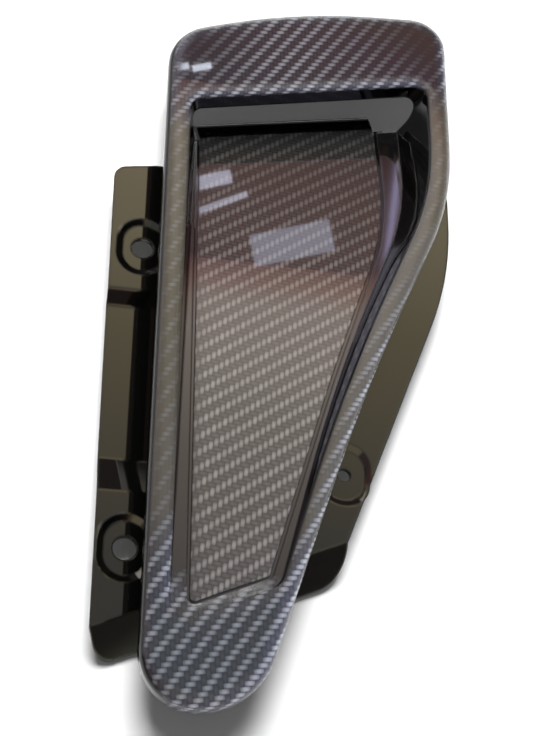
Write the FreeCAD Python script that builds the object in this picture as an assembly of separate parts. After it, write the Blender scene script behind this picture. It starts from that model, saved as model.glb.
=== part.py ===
import FreeCAD, Part
import math
import os

V = FreeCAD.Vector

# Frame: X to the right, Y from the nose to the outlet, Z out of the bonnet
# The origin is midway between the two left bolt holes, on their seats

# Main sizes of the bezel, and where it stands beside the bolts
rim_length = 334.0
rim_width = 132.5
rim_left = 5.5
nose_y = -131.5
right_x = rim_left + rim_width
wide_y = nose_y + rim_length

# Heights above the bolt seats
rim_top = 18.5
flange_top = 1.5
low_flange_top = -3.5

# Laminates and the pieces they make
laminate = 2.2
flange_thick = 2.5
skirt_depth = 8.0
outer_roll = 3.2
inner_roll = 2.0

# Outline of the bezel, each corner with its radius, anticlockwise from the nose
nose_width = 45.3
waist_in = 42.0
waist_y = 6.0
elbow_back = 101.5
end_slant = 30.0
rim_corners = [
    (rim_left + 0.5, nose_y, 22.0),
    (rim_left + nose_width, nose_y, 30.0),
    (right_x - waist_in, waist_y, 900.0),
    (right_x, wide_y - elbow_back, 138.0),
    (right_x, wide_y, 16.0),
    (right_x - 72.0, wide_y - 7.0, 270.0),
    (rim_left, wide_y - end_slant, 24.0),
]

# Mouth of the duct in the top of the bezel
left_rail = 10.5
right_rail = 10.2
nose_flat = 30.0
band_left = 65.5
band_right = 40.0
mouth_left = rim_left + left_rail
mouth_right = right_x - right_rail
tip_rail = 7.2
tip_y = nose_y + nose_flat + 18.5
rim_lean = (right_x - waist_in - rim_left - nose_width) / (waist_y - nose_y)
tip_x = rim_left + nose_width + rim_lean * (tip_y - nose_y) - tip_rail
mouth_corners = [
    (mouth_left, nose_y + nose_flat, 8.0),
    (tip_x, tip_y, 9.0),
    (mouth_right - 41.5, waist_y, 900.0),
    (mouth_right, wide_y - elbow_back + 2.0, 130.0),
    (mouth_right, wide_y - band_right, 6.0),
    (mouth_left, wide_y - band_left, 6.0),
]
right_draft = 16.0
left_draft = 14.0

# Window that the ledge leaves over the floor
ledge_left = 6.8
ledge_right = 15.2
window_lean = 4.6
window_left = mouth_left + ledge_left
window_right = mouth_right - ledge_right
window_corners = [
    (window_left, nose_y + nose_flat + 7.5, 3.0),
    (tip_x - 3.5, tip_y + 3.0, 3.0),
    (window_right - 28.3, waist_y + 6.0, 900.0),
    (window_right, wide_y - elbow_back - 6.5, 130.0),
    (window_right - window_lean, wide_y - 12.0, 5.0),
    (window_left, wide_y - 12.0, 5.0),
]
ledge_thick = 1.8

# Ramp floor: the ledge starts level with the rim, and falls per millimetre of length
ramp_start_y = nose_y + nose_flat
ramp_start_z = rim_top - ledge_thick
ramp_fall = 0.104
panel_thick = 2.2
panel_land = 4.0
floor_gap = 1.3
floor_rise = 0.9

# Outlet under the lip
lip_depth = 9.5
outlet_run = 8.0
outlet_round = 10.0
crease_back = 6.0
roll_flat = 7.0
roll_slope = 12.0
roll_radius = 5.0
roll_end = 80.0

# Mounting base
flange_right = right_x + 2.8
flange_end = wide_y - 84.5
flange_corners = [
    (-11.8, -99.3, 0.0),
    (flange_right - 50.2, -58.5, 0.0),
    (flange_right, 70.6, 150.0),
    (flange_right, flange_end, 8.0),
    (4.0, flange_end - 8.5, 0.0),
    (-14.5, flange_end - 11.5, 6.0),
]
low_stretch = (-29.5, 40.0)
step_runs = (15.0, 6.0)
step_round = 2.0
web_width = 22.0
base_split = rim_left + nose_width
collar_inset = 2.7
collar_thick = 2.5
flap_out = 13.0
flap_drop = 13.0
flap_corner_left = 7.0
flap_corner_right = 16.0

# Bolt pads
bolt_spacing = 135.0
bolt_hole = 9.5
pad_outer = 23.0
pad_inner = 17.0
pad_stretch = 5.0
right_pad = (right_x - 48.5, -29.5)
right_hole = 5.5

# Reach of the cutting blocks, beyond the part on every side
reach = 400.0


def rounded(corners, z):
    # each corner takes its radius, or as much of it as its two sides have room for
    count = len(corners)
    points = [V(x, y, z) for x, y, r in corners]
    sides = [points[(i + 1) % count] - points[i] for i in range(count)]
    halves = [(sides[i - 1] * -1).getAngle(sides[i]) / 2 for i in range(count)]
    runs = [corners[i][2] / math.tan(halves[i]) for i in range(count)]
    room = []
    for i in range(count):
        wanted = runs[i] + runs[(i + 1) % count]
        room.append(min(1.0, 0.98 * sides[i].Length / wanted) if wanted > 0 else 1.0)
    ends = []
    for i in range(count):
        run = runs[i] * min(room[i - 1], room[i])
        radius = run * math.tan(halves[i])
        before = (sides[i - 1] * -1).normalize()
        after = V(sides[i]).normalize()
        bisector = (before + after).normalize()
        middle = points[i] + bisector * (radius / math.sin(halves[i]) - radius)
        ends.append((points[i] + before * run, middle, points[i] + after * run))
    edges = []
    for i, (start, middle, finish) in enumerate(ends):
        if corners[i][2] > 0:
            edges.append(Part.Arc(start, middle, finish).toShape())
        following = ends[(i + 1) % count][0]
        if finish.distanceToPoint(following) > 1e-6:
            edges.append(Part.LineSegment(finish, following).toShape())
    return Part.Wire(edges)


def moved_in(corners, amounts):
    count = len(corners)
    if not isinstance(amounts, (list, tuple)):
        amounts = [amounts] * count
    sides = []
    for i in range(count):
        ax, ay = corners[i][:2]
        bx, by = corners[(i + 1) % count][:2]
        length = math.hypot(bx - ax, by - ay)
        nx, ny = (ay - by) / length, (bx - ax) / length
        sides.append((nx, ny, nx * ax + ny * ay + amounts[i]))
    result = []
    for i in range(count):
        n1x, n1y, c1 = sides[i - 1]
        n2x, n2y, c2 = sides[i]
        det = n1x * n2y - n1y * n2x
        x = (c1 * n2y - c2 * n1y) / det
        y = (n1x * c2 - n2x * c1) / det
        turn = 1 if det > 0 else -1
        step = (amounts[i - 1] + amounts[i]) / 2
        radius = corners[i][2]
        if radius > 0:
            radius = max(radius - turn * step, 0.8)
        result.append((x, y, radius))
    return result


def prism(corners, low, high):
    return Part.Face(rounded(corners, low)).extrude(V(0, 0, high - low))


def floor_z(y):
    return ramp_start_z - ramp_fall * (y - ramp_start_y)


def ramp_slab(low, high):
    # layer over the ramp between two heights
    y0, y1 = ramp_start_y - reach, ramp_start_y + reach
    points = [
        V(-reach, y0, floor_z(y0) + low),
        V(-reach, y1, floor_z(y1) + low),
        V(-reach, y1, floor_z(y1) + high),
        V(-reach, y0, floor_z(y0) + high),
    ]
    return Part.Face(Part.makePolygon(points + points[:1])).extrude(V(2 * reach, 0, 0))


def duct_loft(outward, top, bottom):
    # drafted walls in the order nose, three right-hand sides, lip, left
    right = math.tan(math.radians(right_draft))
    left = math.tan(math.radians(left_draft))
    slopes = [right, right, right, right, 0.0, left]
    wires = []
    for z in (top, bottom):
        amounts = [slope * (rim_top - z) - outward for slope in slopes]
        wires.append(rounded(moved_in(mouth_corners, amounts), z))
    solid = Part.makeLoft(wires[::-1], True, True)
    if solid.Volume < 0:
        solid.reverse()
    return solid


# Directions along the lip and across it towards the outlet
lip_left = V(*mouth_corners[5][:2], 0)
lip_right = V(*mouth_corners[4][:2], 0)
along = (lip_right - lip_left).normalize()
across = V(-along.y, along.x, 0)


def across_lip(profile, start, run):
    # profile points are distance past the lip and height, swept along the lip
    points = [start + across * s + V(0, 0, z) for s, z in profile]
    return Part.Face(Part.makePolygon(points + points[:1])).extrude(run)


def outlet_cut():
    # space under the lip, its upper inner edge rounded
    start = lip_left - along * 3 * laminate
    lip_bottom = rim_top - lip_depth
    inner = -outlet_run
    top_left = start + across * (inner + outlet_round) + V(0, 0, lip_bottom)
    centre = top_left - V(0, 0, outlet_round)
    turn = across * (-outlet_round * math.sqrt(0.5)) + V(0, 0, outlet_round * math.sqrt(0.5))
    low_left = start + across * inner + V(0, 0, lip_bottom - outlet_round)
    past = across * 3 * laminate
    floor_left = start + across * inner - V(0, 0, reach)
    floor_right = start + past - V(0, 0, reach)
    top_right = start + past + V(0, 0, lip_bottom)
    edges = [
        Part.Arc(low_left, centre + turn, top_left).toShape(),
        Part.LineSegment(top_left, top_right).toShape(),
        Part.LineSegment(top_right, floor_right).toShape(),
        Part.LineSegment(floor_right, floor_left).toShape(),
        Part.LineSegment(floor_left, low_left).toShape(),
    ]
    return Part.Face(Part.Wire(edges)).extrude(along * ((lip_right - lip_left).Length + 6 * laminate))


def carbon_bezel():
    # upturned tray with a rolled rim, pierced by the drafted duct walls
    tray = prism(rim_corners, rim_top - skirt_depth, rim_top)
    hollow = prism(moved_in(rim_corners, laminate), rim_top - skirt_depth - 1, rim_top - laminate)
    walls = duct_loft(laminate, rim_top - 0.5, -30.0)
    block = tray.cut(hollow).fuse(walls).cut(duct_loft(0.0, rim_top + 1.0, -31.0)).removeSplitter()
    top = max((f for f in block.Faces if abs(f.CenterOfMass.z - rim_top) < 0.01), key=lambda f: f.Area)
    block = block.makeFillet(outer_roll, top.OuterWire.Edges)
    top = max((f for f in block.Faces if abs(f.CenterOfMass.z - rim_top) < 0.01), key=lambda f: f.Area)
    mouth_edges = [e for w in top.Wires if not w.isSame(top.OuterWire) for e in w.Edges]
    block = block.makeFillet(inner_roll, mouth_edges)
    # the walls stop at the ramp, where a ledge turns in under the air path
    below = prism(moved_in(mouth_corners, -laminate - 0.8), -reach, reach).common(ramp_slab(-reach, 0.0))
    ledge = duct_loft(laminate, rim_top - 0.5, -30.0).common(ramp_slab(0.0, ledge_thick))
    ledge = ledge.cut(prism(window_corners, -reach, reach))
    return block.cut(below).fuse(ledge).cut(outlet_cut()).removeSplitter()


def ramp_panel():
    # flat land bonded under the ledge, and the raised floor standing in its window
    land = prism(moved_in(window_corners, -panel_land), -reach, reach).common(ramp_slab(-panel_thick, 0.0))
    floor = prism(moved_in(window_corners, floor_gap), -reach, reach).common(ramp_slab(-0.5, floor_rise))
    panel = land.fuse(floor)
    beyond = [(-crease_back, -reach), (reach, -reach), (reach, reach), (-crease_back, reach)]
    panel = panel.cut(across_lip(beyond, lip_left - along * reach, along * 2 * reach))
    return panel.fuse(roll_off()).removeSplitter()


def roll_off():
    # end of the floor, creased down and rolled over, swept along the crease
    left_end = window_left + floor_gap
    crease = lip_left - across * crease_back
    crease = crease + along * ((left_end - crease.x) / along.x)
    start = V(crease.x, crease.y, floor_z(crease.y) + floor_rise)
    far_y = crease.y + along.y / along.x * (window_right - left_end)
    lean = window_lean * (far_y - window_corners[3][1]) / (window_corners[4][1] - window_corners[3][1])
    right_end = window_right - lean - floor_gap
    run = along * ((right_end - left_end) / along.x)
    run = run + V(0, 0, -ramp_fall * run.y)
    thick = panel_thick + floor_rise
    slope, end = math.radians(roll_slope), math.radians(roll_end)
    forward = across * math.cos(slope) - V(0, 0, math.sin(slope))
    upward = across * math.sin(slope) + V(0, 0, math.cos(slope))
    bend = start + forward * roll_flat
    centre = bend - upward * roll_radius
    inner = roll_radius - thick

    def at(radius, angle):
        return centre + across * (radius * math.sin(angle)) + V(0, 0, radius * math.cos(angle))

    middle = (slope + end) / 2
    edges = [
        Part.LineSegment(start, bend).toShape(),
        Part.Arc(bend, at(roll_radius, middle), at(roll_radius, end)).toShape(),
        Part.LineSegment(at(roll_radius, end), at(inner, end)).toShape(),
        Part.Arc(at(inner, end), at(inner, middle), at(inner, slope)).toShape(),
        Part.LineSegment(at(inner, slope), start - upward * thick).toShape(),
        Part.LineSegment(start - upward * thick, start).toShape(),
    ]
    return Part.Face(Part.Wire(edges)).extrude(run)


def left_strip(thick, lowered):
    # level pads at both ends, and a lower stretch between two sloping steps
    low_from, low_to = low_stretch
    top = [
        (-reach, flange_top),
        (low_from - step_runs[0], flange_top),
        (low_from, low_flange_top),
        (low_to, low_flange_top),
        (low_to + step_runs[1], flange_top),
        (reach, flange_top),
    ]
    bottom = [(y, z - thick) for y, z in reversed(top)]
    points = [V(-reach, y, z - lowered) for y, z in top + bottom]
    strip = Part.Face(Part.makePolygon(points + points[:1])).extrude(V(reach + base_split, 0, 0))
    bends = [e for e in strip.Edges if abs(e.tangentAt(0).x) > 0.9 and abs(e.CenterOfMass.y) < reach - 1]
    return strip.makeFillet(step_round, bends)


def end_flap():
    # nose end of the flange, turned down along an oblique crease
    left = V(*flange_corners[0][:2], flange_top)
    right = V(*flange_corners[1][:2], flange_top)
    crease = (right - left).normalize()
    outward = V(crease.y, -crease.x, 0)
    tip = outward * flap_out - V(0, 0, flap_drop)
    down = V(0, 0, -flange_thick * 1.3)
    points = [left, left + tip, left + tip + down, left + down]
    run = right - left
    slab = Part.Face(Part.makePolygon(points + points[:1])).extrude(run)
    near = outward * flap_out
    corners = [
        (left - outward * 3, 0.0),
        (left + near, flap_corner_left),
        (right + near, flap_corner_right),
        (right - outward * 3, 0.0),
    ]
    outline = prism([(p.x, p.y, r) for p, r in corners], -reach, reach)
    return slab.common(outline)


def oval(x, y, width, z):
    # round-ended outline, longer along the flange by the pad's stretch
    half = width / 2
    reach = half + pad_stretch / 2
    corners = [(x - half, y - reach), (x + half, y - reach), (x + half, y + reach), (x - half, y + reach)]
    return rounded([(cx, cy, half) for cx, cy in corners], z)


def bolt_pad(x, y, hole):
    # dished seat of even thickness, given as what it adds and what it cuts
    wider = 2 * pad_outer - pad_inner
    under = [oval(x, y, pad_inner, -flange_thick), oval(x, y, pad_outer, flange_top - flange_thick)]
    dish = [oval(x, y, pad_inner, 0.0), oval(x, y, wider, 2 * flange_top)]
    added = Part.makeLoft(under, True, True)
    cut = Part.makeLoft(dish, True, True)
    drill = Part.makeCylinder(hole / 2, 40, V(x, y, -20))
    return added, cut, drill


def mounting_base():
    # flange strips either side of the duct, joined by a web under the nose
    outline = prism(flange_corners, -40.0, 40.0)
    right_half = Part.makeBox(reach, 2 * reach, flange_thick, V(base_split, -reach, flange_top - flange_thick))
    plate = left_strip(flange_thick, 0.0).fuse(right_half).common(outline).fuse(end_flap())
    foot = moved_in(rim_corners, collar_inset)
    inside = moved_in(rim_corners, collar_inset + collar_thick)
    sunk = flange_thick / 2
    under_right = Part.makeBox(reach, 2 * reach, reach, V(base_split, -reach, flange_top - sunk - reach))
    collar = prism(foot, -20.0, rim_top - laminate).cut(prism(inside, -30.0, 40.0)).common(outline)
    collar = collar.cut(left_strip(60.0, sunk)).cut(under_right)
    start = V(*flange_corners[0][:2], 0)
    crease = (V(*flange_corners[1][:2], 0) - start).normalize()
    inward = V(-crease.y, crease.x, 0)
    corner = start + inward * web_width - crease * reach
    run = crease * 2 * reach
    opened = [corner, corner + run, corner + run + inward * reach, corner + inward * reach]
    opening = prism([(p.x, p.y, 0.0) for p in opened], -reach, reach)
    plate = plate.cut(prism(inside, -reach, reach).common(opening))
    base = plate
    half = bolt_spacing / 2
    pads = [(0.0, half, bolt_hole), (0.0, -half, bolt_hole), (*right_pad, right_hole)]
    keep_out = prism(foot, -reach, reach)
    for x, y, hole in pads:
        added, cut, drill = bolt_pad(x, y, hole)
        base = base.fuse(added.cut(keep_out)).cut(cut.cut(keep_out)).cut(drill)
    return base.fuse(collar).removeSplitter()


os.makedirs("parts", exist_ok=True)
nodes = {
    "carbon_bezel": carbon_bezel(),
    "ramp_panel": ramp_panel(),
    "mounting_base": mounting_base(),
}
for name, shape in nodes.items():
    solid = shape.Solids[0] if len(shape.Solids) == 1 else shape
    solid.exportStep("parts/%s.step" % name)
    box = solid.BoundBox
    print(name, "solids", len(shape.Solids), "valid", shape.isValid(), "volume", round(shape.Volume, 1),
          "x", round(box.XMin, 2), round(box.XMax, 2), "y", round(box.YMin, 2), round(box.YMax, 2),
          "z", round(box.ZMin, 2), round(box.ZMax, 2))
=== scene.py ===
import bpy
import math
from mathutils import Matrix, Quaternion, Vector


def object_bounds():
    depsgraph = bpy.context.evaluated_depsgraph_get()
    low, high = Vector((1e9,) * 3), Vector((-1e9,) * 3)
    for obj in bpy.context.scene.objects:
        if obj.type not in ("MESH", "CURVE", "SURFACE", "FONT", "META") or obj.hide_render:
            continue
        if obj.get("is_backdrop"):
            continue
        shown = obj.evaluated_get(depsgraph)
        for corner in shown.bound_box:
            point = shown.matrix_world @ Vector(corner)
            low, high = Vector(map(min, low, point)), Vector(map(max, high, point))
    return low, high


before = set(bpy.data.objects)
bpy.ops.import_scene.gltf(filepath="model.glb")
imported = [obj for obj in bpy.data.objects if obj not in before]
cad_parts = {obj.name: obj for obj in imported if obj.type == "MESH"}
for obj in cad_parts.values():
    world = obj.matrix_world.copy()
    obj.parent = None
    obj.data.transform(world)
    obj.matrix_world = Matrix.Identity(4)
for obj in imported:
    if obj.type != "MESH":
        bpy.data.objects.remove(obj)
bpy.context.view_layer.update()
print("stage: frame loaded", sorted(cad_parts))


class Val:  # a shader socket that takes part in sums
    def __init__(self, tree, socket=None):
        self.tree = tree
        self.socket = socket

    def make(self, kind, settings=None, sockets=None, out=0):
        node = self.tree.nodes.new(kind)
        for key, value in (settings or {}).items():
            if key == "stops":
                ramp = node.color_ramp
                while len(ramp.elements) < len(value):
                    ramp.elements.new(0.5)
                for element, (place, tone) in zip(ramp.elements, value):
                    element.position = place
                    element.color = (*tone, 1.0)
            else:
                setattr(node, key, value)
        for key, value in (sockets or {}).items():
            target = node.inputs[key]
            if isinstance(value, Val):
                self.tree.links.new(value.socket, target)
            elif target.type == "RGBA":
                target.default_value = (*value, 1.0)
            else:
                target.default_value = value
        return Val(self.tree, node.outputs[out] if node.outputs else None)

    def other(self, name):
        return Val(self.tree, self.socket.node.outputs[name])

    def math(self, operation, a, b=0.0):
        return self.make("ShaderNodeMath", {"operation": operation}, {0: a, 1: b})

    def __add__(self, other):
        return self.math("ADD", self, other)

    def __radd__(self, other):
        return self.math("ADD", other, self)

    def __sub__(self, other):
        return self.math("SUBTRACT", self, other)

    def __rsub__(self, other):
        return self.math("SUBTRACT", other, self)

    def __mul__(self, other):
        return self.math("MULTIPLY", self, other)

    def __rmul__(self, other):
        return self.math("MULTIPLY", other, self)

    def __truediv__(self, other):
        return self.math("DIVIDE", self, other)

    def __mod__(self, other):
        return self.math("FLOORED_MODULO", self, other)

    def __lt__(self, other):
        return self.math("LESS_THAN", self, other)

    def floor(self):
        return self.math("FLOOR", self)

    def sine(self):
        return self.math("SINE", self)

    def power(self, other):
        return self.math("POWER", self, other)

    def clamp(self):
        return self.make("ShaderNodeClamp", {}, {0: self, 1: 0.0, 2: 1.0})

    def fade(self, start, span):  # 0 at the start, 1 a span further on
        return ((self - start) / span).clamp()

    def split(self):
        x = self.make("ShaderNodeSeparateXYZ", {}, {0: self}, "X")
        return x, x.other("Y"), x.other("Z")

    def blend(self, low, high):
        sockets = {"Factor": self, 6: low, 7: high}
        return self.make("ShaderNodeMix", {"data_type": "RGBA"}, sockets, 2)

    def shown(self):  # what the camera sees, gloss and glass show too
        camera = self.make("ShaderNodeLightPath", out="Is Camera Ray")
        gloss, glass = camera.other("Is Glossy Ray"), camera.other("Is Transmission Ray")
        return (camera + gloss + glass).clamp()

    def rounded(self, radius):
        return self.make("ShaderNodeBevel", {"samples": 4}, {"Radius": radius})

    def noise(self, place, scale, detail=1.0, out=0):
        sockets = {"Vector": place, "Scale": scale, "Detail": detail}
        return self.make("ShaderNodeTexNoise", {}, sockets, out)


def distance(a, b):
    return (a * a + b * b).power(0.5)


def newMaterial(name):
    material = bpy.data.materials.new(name)
    material.use_nodes = True
    material.node_tree.nodes.clear()
    return material, Val(material.node_tree)


def dress(node, material):
    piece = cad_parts[node]
    piece.data.materials.clear()
    piece.data.materials.append(material)


# camera at the photo's angle

cameraSet = {
    "place": (-0.045599, -0.214160, 0.494602),
    "right": (0.977190, 0.009528, 0.212151),
    "up": (-0.096519, 0.909777, 0.403720),
    "focalPixels": 1300.0, "heightPixels": 736.0, "sensor": 36.0,
    "near": 0.01, "far": 20.0,
}


def placeCamera(c):
    lens = bpy.data.cameras.new("photoCamera")
    lens.sensor_fit = "VERTICAL"
    lens.sensor_height = c["sensor"]
    lens.lens = c["focalPixels"] * c["sensor"] / c["heightPixels"]
    lens.clip_start = c["near"]
    lens.clip_end = c["far"]
    eye = bpy.data.objects.new("photoCamera", lens)
    bpy.context.scene.collection.objects.link(eye)
    right, up = Vector(c["right"]), Vector(c["up"])
    turn = Matrix((right, up, right.cross(up))).transposed().to_4x4()
    eye.matrix_world = Matrix.Translation(Vector(c["place"])) @ turn
    bpy.context.scene.camera = eye


placeCamera(cameraSet)
print("stage: camera placed")


# carbon twill under clear coat, black resin where the cloth ends
# pairs that feed fade are a start and a span

weave = {
    "pitch": 0.0020, "repeat": 4.0, "over": 2.0, "weftStep": 3.0, "drift": 24.0,
    "roundness": 0.6, "low": 0.30, "plain": 0.60, "luck": 0.30, "fibre": 0.60,
    "fine": 9.0, "coarse": 0.5, "weftSeed": 7.0,
    "relief": 0.30, "reliefDepth": 0.0002, "haze": 0.10, "specular": 0.12,
}
clearCoat = {"tone": (1.0, 1.0, 1.0), "ior": 1.5, "roughness": 0.02}
resin = {
    "tone": (0.0008, 0.0008, 0.0008), "fleck": (0.0050, 0.0044, 0.0040),
    "grain": 900.0, "roughness": 0.05,
}
bezelCloth = {
    "turn": -9.0, "top": 0.0185, "fall": 0.0, "wander": 0.0008, "ends": (0.0012, 0.0012),
    "bright": (0.142, 0.155, 0.170), "dark": (0.001, 0.003, 0.003),
    "warp": 0.10, "weft": 1.0, "arch": 1.5, "metal": 0.30, "rough": 0.36,
    "cove": 0.0016, "crown": 0.0065,
    "middle": (0.045, 0.02), "slant": 0.14, "outward": (0.125, 0.25), "leftRoll": (-0.30, -0.30),
    "edge": (0.068, 0.020), "edgeLoss": 0.35,
    "rail": (0.036, 0.034, 0.020), "railStart": (-0.080, 0.025),
    "railSlant": 0.25, "railEnd": (-0.130, 0.015), "railLoss": 0.90,
    "ridge": (0.06, -0.06), "ridgeGain": 0.45,
    "calm": [(0.002, 0.172), (0.138, 0.192)], "calmReach": (0.016, 0.034), "calmLow": 0.06,
    "shade": (0.004, 0.008, 0.034), "shadeBend": (0.0, 0.4),
    "spark": (0.50, 0.53, 0.60), "sparkBend": (0.11364, 0.45455),
    "outerX": (0.04, 0.01), "outerY": (0.06, -0.05),
}
floorCloth = {
    "turn": 9.0, "top": 0.007044, "fall": 0.104, "wander": 0.0006, "ends": (0.00002, 0.00010),
    "bright": (0.125, 0.123, 0.119), "dark": (0.006, 0.006, 0.006),
    "warp": 1.0, "weft": 0.24, "arch": 1.0, "metal": 0.30, "rough": 0.38,
    "cove": 0.0006, "crown": 0.0010,
    "edge": (0.0228, 0.006), "edgeLow": 0.30, "deep": (0.03, 0.09), "deepLoss": 0.60,
}


# painted sheen: each tow's colour is brightest along its round crown and where it lies on top,
# and darker at its sides and where it dips under
def towForm(across, run, arch):  # round across, arched along the part that lies on top
    bow = (run * (math.pi / weave["over"])).sine().clamp().power(arch)
    bowed = weave["low"] + (1.0 - weave["low"]) * bow
    return (across * math.pi).sine().power(weave["roundness"]) * bowed


def towShine(form, tow, fibreX, fibreY, seed, gain):
    luck = tow.make("ShaderNodeTexWhiteNoise", {"noise_dimensions": "1D"}, {"W": tow})
    along = tow.make("ShaderNodeCombineXYZ", {}, {0: fibreX, 1: fibreY, 2: seed})
    fibre = tow.noise(along, 1.0)
    return form * (weave["plain"] + weave["luck"] * luck + weave["fibre"] * fibre) * gain


def weaveTows(cloth, a, b):
    column, row = a.floor(), b.floor()
    warpRun = (b - column) % weave["repeat"]
    weftRun = (a - row + weave["weftStep"]) % weave["repeat"]
    warpOver = warpRun < weave["over"]
    warpForm = towForm(a - column, warpRun, cloth["arch"])
    weftForm = towForm(b - row, weftRun, cloth["arch"])
    fine, coarse = weave["fine"], weave["coarse"]
    # warp and weft are given different painted sheen, as one set catches the light more than the
    # other; the random tone per tow and the fibre streaks are the cloth's own
    warpShine = towShine(warpForm, column, a * fine, b * coarse, 0.0, cloth["warp"])
    weftShine = towShine(weftForm, row, a * coarse, b * fine, weave["weftSeed"], cloth["weft"])
    shine = (warpOver * warpShine + (1.0 - warpOver) * weftShine).clamp()
    return shine, warpOver * warpForm + (1.0 - warpOver) * weftForm


def bezelTone(cloth, spot, shine, bare):
    x, y, nx, ny = spot["x"], spot["y"], spot["nx"], spot["ny"]
    middleX, middleY = cloth["middle"]
    outX, outY = x - (middleX + cloth["slant"] * y), y - middleY
    outward = (nx * outX + ny * outY) / distance(outX, outY)
    bare = bare * (1.0 - outward.fade(*cloth["outward"]))  # the outer roll is cloth
    bare = (bare + nx.fade(*cloth["leftRoll"])).clamp()  # but resin rich on the left
    crest = shine
    tiltX, tiltY = spot["crown"].split()[:2]
    bend = tiltX - tiltY
    # painted sheen on the rails: muted tows over flat olive gaps, with a painted glint kept
    # along each rail's crest
    rail = y.fade(*cloth["railStart"]) * (cloth["railSlant"] * x - y).fade(*cloth["railEnd"])
    ridge = x.math("ABSOLUTE", tiltX).fade(*cloth["ridge"])
    # painted shade: the tow sheen is darkened towards the right and at the far corners, and
    # muted on the rails
    shine = shine * (1.0 - cloth["edgeLoss"] * x.fade(*cloth["edge"]))
    shine = shine * (1.0 - rail * (cloth["railLoss"] - cloth["ridgeGain"] * ridge))
    for cornerX, cornerY in cloth["calm"]:
        away = distance(x - cornerX, y - cornerY).fade(*cloth["calmReach"])
        shine = shine * (cloth["calmLow"] + (1.0 - cloth["calmLow"]) * away)
    # painted reflection: near the bends the gaps between tows are tinted navy, standing in for a
    # blue sky reflected in the rolled edges
    between = bend.fade(*cloth["shadeBend"]).blend(cloth["dark"], cloth["shade"])
    woven = shine.blend(rail.blend(between, cloth["rail"]), cloth["bright"])
    # painted glint: the base colour turns pale blue-white where the tows bend over the edge
    outer = x.fade(*cloth["outerX"]) * y.fade(*cloth["outerY"])
    spark = bend.fade(*cloth["sparkBend"]) * crest * (1.0 - rail * (1.0 - outer))
    return shine, spark.blend(woven, cloth["spark"]), bare


def floorTone(cloth, spot, shine, bare):
    # painted shade: the floor is darkened along its left edge beside the step, and at the deep
    # end where the lip shades it
    left = spot["x"].fade(*cloth["edge"])
    shine = shine * (cloth["edgeLow"] + (1.0 - cloth["edgeLow"]) * left)
    shine = shine * (1.0 - cloth["deepLoss"] * spot["y"].fade(*cloth["deep"]))
    return shine, shine.blend(cloth["dark"], cloth["bright"]), bare


def carbonTwill(name, cloth, toneCloth):
    material, val = newMaterial(name)
    place = val.make("ShaderNodeTexCoord", out="Object")
    x, y, z = place.split()
    nx, ny = val.make("ShaderNodeNewGeometry", out="Normal").split()[:2]
    crown = val.rounded(cloth["crown"])
    # the cloth wraps over the rolled edges
    fall = z + y * cloth["fall"] - cloth["top"]
    driftX, driftY = val.noise(place, weave["drift"], out="Color").split()[:2]
    flatX = x - nx * fall + (driftX - 0.5) * cloth["wander"]
    flatY = y - ny * fall + (driftY - 0.5) * cloth["wander"]
    angle = math.radians(cloth["turn"])
    a = (flatX * math.cos(angle) - flatY * math.sin(angle)) / weave["pitch"]
    b = (flatX * math.sin(angle) + flatY * math.cos(angle)) / weave["pitch"]
    shine, height = weaveTows(cloth, a, b)
    # below its surface the piece is plain black resin
    bare = (0.0 - fall).fade(*cloth["ends"])
    spot = {"x": x, "y": y, "nx": nx, "ny": ny, "crown": crown}
    shine, woven, bare = toneCloth(cloth, spot, shine, bare)
    relief = val.make("ShaderNodeBump", {}, {
        "Strength": weave["relief"], "Distance": weave["reliefDepth"],
        "Height": height, "Normal": crown})
    fibres = val.make("ShaderNodeBsdfPrincipled", {}, {
        "Base Color": woven, "Metallic": cloth["metal"],
        "Roughness": cloth["rough"] + weave["haze"] * (1.0 - shine),
        "Specular IOR Level": weave["specular"], "Normal": relief})
    # the clear coat is crowned over the edges
    gloss = val.make("ShaderNodeFresnel", {}, {"IOR": clearCoat["ior"], "Normal": crown})
    coat = val.make("ShaderNodeBsdfPrincipled", {}, {
        "Base Color": clearCoat["tone"], "Metallic": 1.0,
        "Roughness": clearCoat["roughness"], "Normal": crown})
    coated = val.make("ShaderNodeMixShader", {}, {0: gloss, 1: fibres, 2: coat})
    black = val.noise(place, resin["grain"]).blend(resin["tone"], resin["fleck"])
    plain = val.make("ShaderNodeBsdfPrincipled", {}, {
        "Base Color": black, "Roughness": resin["roughness"],
        "Normal": val.rounded(cloth["cove"])})
    mixed = val.make("ShaderNodeMixShader", {}, {0: bare, 1: coated, 2: plain})
    val.make("ShaderNodeOutputMaterial", {}, {"Surface": mixed})
    return material


dress("carbon_bezel", carbonTwill("bezelTwill", bezelCloth, bezelTone))
dress("ramp_panel", carbonTwill("floorTwill", floorCloth, floorTone))
print("stage: carbon cloth laid")


# gloss black base

gelcoat = {
    "tone": (0.0016, 0.0016, 0.0015), "tint": (1.0, 0.98, 0.72), "specular": 0.45,
    "lean": 0.14, "leanEdge": 0.012, "bend": 0.0014,
    "ripple": 45.0, "rippleDetail": 2.0, "rippleStrength": 0.05, "rippleDepth": 0.0004,
    "roughness": 0.02, "haze": 18.0, "hazeDetail": 4.0, "hazeGain": 0.06,
}


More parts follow.
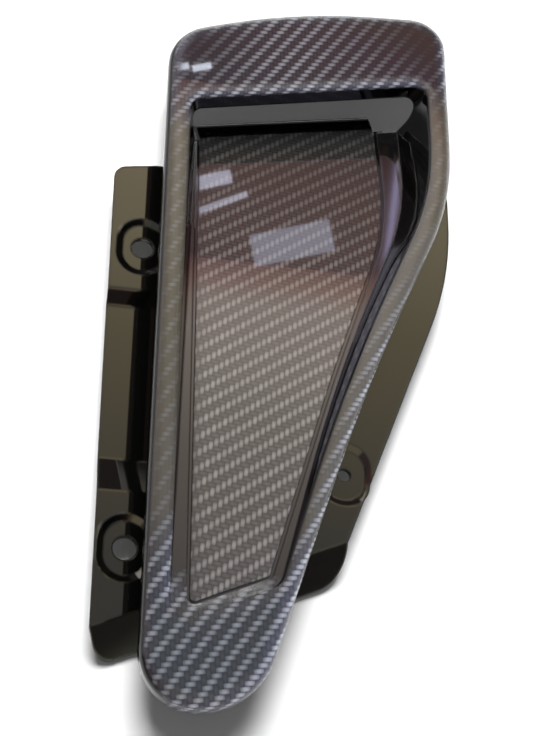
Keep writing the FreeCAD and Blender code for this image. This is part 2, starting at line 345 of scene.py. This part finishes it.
def blackGelcoat(name, g):
    material, val = newMaterial(name)
    place = val.make("ShaderNodeTexCoord", out="Object")
    x = place.split()[0]
    lean = x.math("MINIMUM", x, g["leanEdge"]) * -g["lean"]  # the left flange leans outwards
    tilt = val.make("ShaderNodeBump", {}, {
        "Strength": 1.0, "Distance": 1.0, "Height": lean, "Normal": val.rounded(g["bend"])})
    bump = val.make("ShaderNodeBump", {}, {
        "Strength": g["rippleStrength"], "Distance": g["rippleDepth"],
        "Height": val.noise(place, g["ripple"], g["rippleDetail"]), "Normal": tilt})
    haze = val.noise(place, g["haze"], g["hazeDetail"])
    black = val.make("ShaderNodeBsdfPrincipled", {}, {
        "Base Color": g["tone"], "Roughness": haze * g["hazeGain"] + g["roughness"],
        "Specular IOR Level": g["specular"], "Specular Tint": g["tint"], "Normal": bump})
    val.make("ShaderNodeOutputMaterial", {}, {"Surface": black})
    return material


dress("mounting_base", blackGelcoat("baseGelcoat", gelcoat))
print("stage: base finished")


# pale floor and soft studio light

studio = {
    "white": (1.0, 1.0, 1.0), "black": (0.0, 0.0, 0.0),
    "floorSize": 6.0, "floorTone": (0.90, 0.90, 0.90), "floorRough": 0.9,
    "floorGlow": 0.03, "floorFar": (0.35, 0.9),
    "airPlain": (0.12, 0.12, 0.12),
    "air": [
        (0.0, (1.0, 1.0, 1.0)), (0.03, (1.0, 1.0, 1.0)), (0.05, (0.20, 0.19, 0.21)),
        (0.52, (0.20, 0.16, 0.20)), (0.62, (0.26, 0.17, 0.22)), (0.69, (1.00, 0.50, 0.42)),
        (0.735, (1.00, 0.52, 0.44)), (0.75, (0.85, 0.40, 0.52)), (0.80, (0.62, 0.40, 0.52)),
        (1.0, (0.50, 0.48, 0.54))],
}
lampTarget = (0.06, 0.05, 0.0)
plainLamp = {
    "name": "overheadLamp", "place": (-0.10, 0.75, 1.50), "size": (0.8, 0.8), "roll": 0.0,
    "watts": 47.0, "tone": (1.0, 1.0, 1.0)}
glossLamps = [
    {"name": "leftSoftbox", "place": (-0.45, 1.52, 1.26), "size": (0.80, 0.60), "roll": 0.0,
     "watts": 8.0, "tone": (0.84, 0.82, 1.0)},
    {"name": "leftPanel", "place": (-1.10, 0.55, 0.75), "size": (1.30, 1.00), "roll": 0.0,
     "watts": 4.0, "tone": (0.97, 0.92, 0.92)},
    {"name": "rightPanel", "place": (1.15, -0.05, 1.30), "size": (1.6, 1.1), "roll": 0.0,
     "watts": 9.0, "tone": (0.52, 0.58, 0.90)},
    {"name": "rightStrip", "place": (1.05, 0.19, 1.13), "size": (1.1, 0.10), "roll": 0.0,
     "watts": 3.0, "tone": (0.88, 0.94, 1.0)},
    {"name": "ledgeStrip", "place": (2.748, 6.821, 6.905), "size": (0.030, 0.98), "roll": 15.6,
     "watts": 1.3, "tone": (0.62, 0.62, 1.0)},
    {"name": "windowFar", "place": (0.945, 6.225, 7.908), "size": (0.13, 0.05), "roll": 26.0,
     "watts": 0.30, "tone": (0.80, 0.86, 1.0)},
    {"name": "windowFarther", "place": (1.109, 6.235, 7.883), "size": (0.15, 0.05), "roll": 26.0,
     "watts": 0.35, "tone": (0.80, 0.86, 1.0)},
    {"name": "windowHigh", "place": (1.312, 7.108, 7.026), "size": (0.28, 0.11), "roll": 26.0,
     "watts": 0.72, "tone": (0.76, 0.80, 1.0)},
    {"name": "windowLow", "place": (1.400, 6.97, 7.13), "size": (0.42, 0.05), "roll": 34.0,
     "watts": 0.42, "tone": (0.76, 0.80, 1.0)},
    {"name": "windowWide", "place": (1.986, 6.71, 7.23), "size": (0.66, 0.26), "roll": 30.0,
     "watts": 2.1, "tone": (0.70, 0.78, 1.0)},
]
ceiling = {
    "name": "ceilingPanel", "left": -0.110, "right": 0.450, "front": -0.42, "back": 0.525,
    "height": 0.52,
    "glow": [
        (0.0, (1.40, 1.30, 0.95)), (0.30, (1.40, 1.30, 0.95)), (0.325, (0.28, 0.40, 0.56)),
        (0.5375, (0.44, 0.50, 0.56)), (0.6735, (1.15, 1.08, 0.84)), (0.7627, (1.60, 1.48, 1.10)),
        (0.869, (2.50, 2.32, 1.85)), (0.945, (2.90, 2.62, 2.10)), (0.975, (2.10, 1.35, 0.95)),
        (1.0, (1.10, 0.55, 0.45))],
}


def layFloor(s):
    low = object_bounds()[0][2]
    bpy.ops.object.select_all(action="DESELECT")
    bpy.ops.mesh.primitive_plane_add(size=s["floorSize"], location=(0, 0, low))
    floor = bpy.context.object
    floor.name = "studioFloor"
    bpy.ops.object.transform_apply(location=True, rotation=True, scale=True)
    material, val = newMaterial("paleFloor")
    x, y = val.make("ShaderNodeTexCoord", out="Object").split()[:2]
    far = distance(x, y).fade(*s["floorFar"])  # white into the distance
    glow = s["floorGlow"] + (1.0 - s["floorGlow"]) * far
    pale = val.make("ShaderNodeBsdfPrincipled", {}, {
        "Base Color": s["floorTone"], "Roughness": s["floorRough"], "Specular IOR Level": 0.0,
        "Emission Color": (val.shown() * glow).blend(s["black"], s["white"]),
        "Emission Strength": 1.0})
    val.make("ShaderNodeOutputMaterial", {}, {"Surface": pale})
    floor.data.materials.append(material)
    floor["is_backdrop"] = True


def areaLight(name, width, depth, watts, plain):
    light = bpy.data.lights.new(name, "AREA")
    light.shape = "RECTANGLE"
    light.size, light.size_y = width, depth
    light.energy = watts
    body = bpy.data.objects.new(name, light)
    bpy.context.scene.collection.objects.link(body)
    body.visible_camera = False
    body.visible_diffuse = plain  # one lamp gives the plain light, the others the gloss
    return light, body


def hangLamp(lamp, plain):
    light, body = areaLight(lamp["name"], *lamp["size"], lamp["watts"], plain)
    light.color = lamp["tone"]
    body.visible_glossy = not plain
    body.location = lamp["place"]
    aim = Vector(lampTarget) - Vector(lamp["place"])
    spin = Quaternion((0.0, 0.0, 1.0), math.radians(lamp["roll"]))
    body.rotation_euler = (aim.to_track_quat("-Z", "Y") @ spin).to_euler()


def hangCeiling(c):
    width, depth = c["right"] - c["left"], c["back"] - c["front"]
    watts = math.pi * width * depth  # glow stops are then the panel's brightness
    light, body = areaLight(c["name"], width, depth, watts, False)
    light.use_nodes = True
    light.node_tree.nodes.clear()
    val = Val(light.node_tree)
    along = val.make("ShaderNodeNewGeometry", out="Parametric").split()[1]
    glow = val.make("ShaderNodeValToRGB", {"stops": c["glow"]}, {0: along})
    lit = val.make("ShaderNodeEmission", {}, {"Color": glow, "Strength": 1.0})
    val.make("ShaderNodeOutputLight", {}, {"Surface": lit})
    middleX, middleY = (c["left"] + c["right"]) / 2, (c["front"] + c["back"]) / 2
    body.location = (middleX, middleY, c["height"])


def fillAir(s):
    world = bpy.data.worlds.new("studioAir")
    bpy.context.scene.world = world
    world.use_nodes = True
    world.node_tree.nodes.clear()
    val = Val(world.node_tree)
    up = val.make("ShaderNodeTexCoord", out="Generated").split()[2]
    room = val.make("ShaderNodeValToRGB", {"stops": s["air"]}, {0: up.clamp()})
    tone = val.shown().blend(s["airPlain"], room)
    back = val.make("ShaderNodeBackground", {}, {"Color": tone, "Strength": 1.0})
    val.make("ShaderNodeOutputWorld", {}, {"Surface": back})


layFloor(studio)
hangCeiling(ceiling)
hangLamp(plainLamp, True)
for lamp in glossLamps:
    hangLamp(lamp, False)
fillAir(studio)
bpy.context.scene.view_settings.view_transform = "Standard"
print("stage: studio lit")
